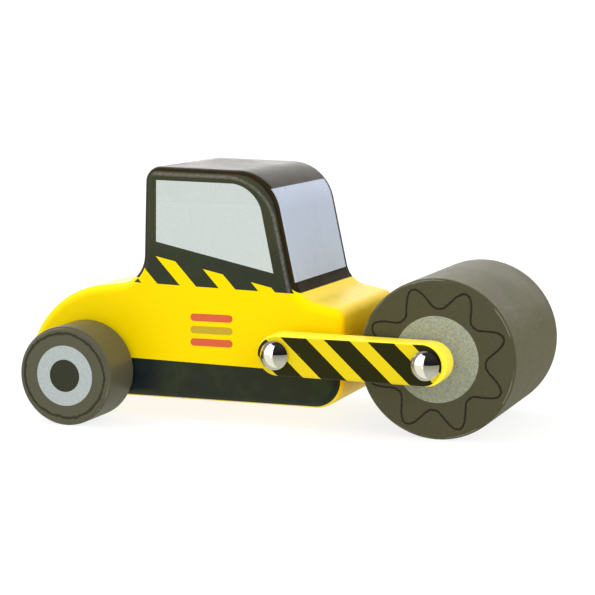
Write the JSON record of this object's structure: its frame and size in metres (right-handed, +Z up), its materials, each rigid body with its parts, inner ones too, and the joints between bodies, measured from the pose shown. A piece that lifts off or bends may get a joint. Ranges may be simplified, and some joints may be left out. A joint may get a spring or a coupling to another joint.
{
  "type": "toy road roller",
  "caption": "Small wooden push-along road roller: one-piece cab body, rear wheels on a dowel, and a wide drum between two arms that swing on a rod.",
  "frame": {"origin": "on the floor, in the middle of the overall length and width", "axes": "+X forward towards the drum, +Y to the roller's left, +Z up"},
  "size_m": [0.1826, 0.104, 0.0899],
  "materials": {
    "body_paint": "gloss lacquer over wood, with printed windows and stripes",
    "arm_paint": "gloss lacquer over wood, with printed stripes",
    "drum_paint": "satin dark grey lacquer over wood, printed faces",
    "wheel_paint": "satin dark grey lacquer over wood, printed hub",
    "bare_wood": "unfinished beech",
    "rod_steel": "drawn bright steel",
    "cap_plating": "bright plated steel",
    "spring_steel": "blued spring steel",
    "washer_nylon": "natural nylon"
  },
  "bodies": {
    "chassis": {"body_block": "body_paint"},
    "rear_wheelset": {"rear_axle": "bare_wood", "rear_wheel_left": "wheel_paint", "rear_wheel_right": "wheel_paint"},
    "drum_frame": {"arm_left": "arm_paint", "arm_right": "arm_paint", "arm_pivot_rod": "rod_steel", "drum_axle": "rod_steel", "pivot_cap_left": "cap_plating", "pivot_cap_right": "cap_plating", "drum_cap_left": "cap_plating", "drum_cap_right": "cap_plating", "pivot_retainer_left": "spring_steel", "pivot_retainer_right": "spring_steel", "drum_retainer_left": "spring_steel", "drum_retainer_right": "spring_steel", "pivot_washer_left": "washer_nylon", "pivot_washer_right": "washer_nylon", "drum_washer_left": "washer_nylon", "drum_washer_right": "washer_nylon"},
    "drum": {"roller_drum": "drum_paint"}
  },
  "joints": [
    {"name": "rear_wheels_roll", "type": "hinge", "parent": "chassis", "child": "rear_wheelset", "pos_m": [-0.065, 0, 0.0175], "axis": [0, 1, 0], "continuous": true},
    {"name": "frame_swing", "type": "hinge", "parent": "chassis", "child": "drum_frame", "pos_m": [0.00975, 0, 0.02765], "axis": [0, -1, 0], "range_deg": [-112, 60]},
    {"name": "drum_roll", "type": "hinge", "parent": "drum_frame", "child": "drum", "pos_m": [0.06375, 0, 0.0275], "axis": [0, 1, 0], "continuous": true}
  ]
}
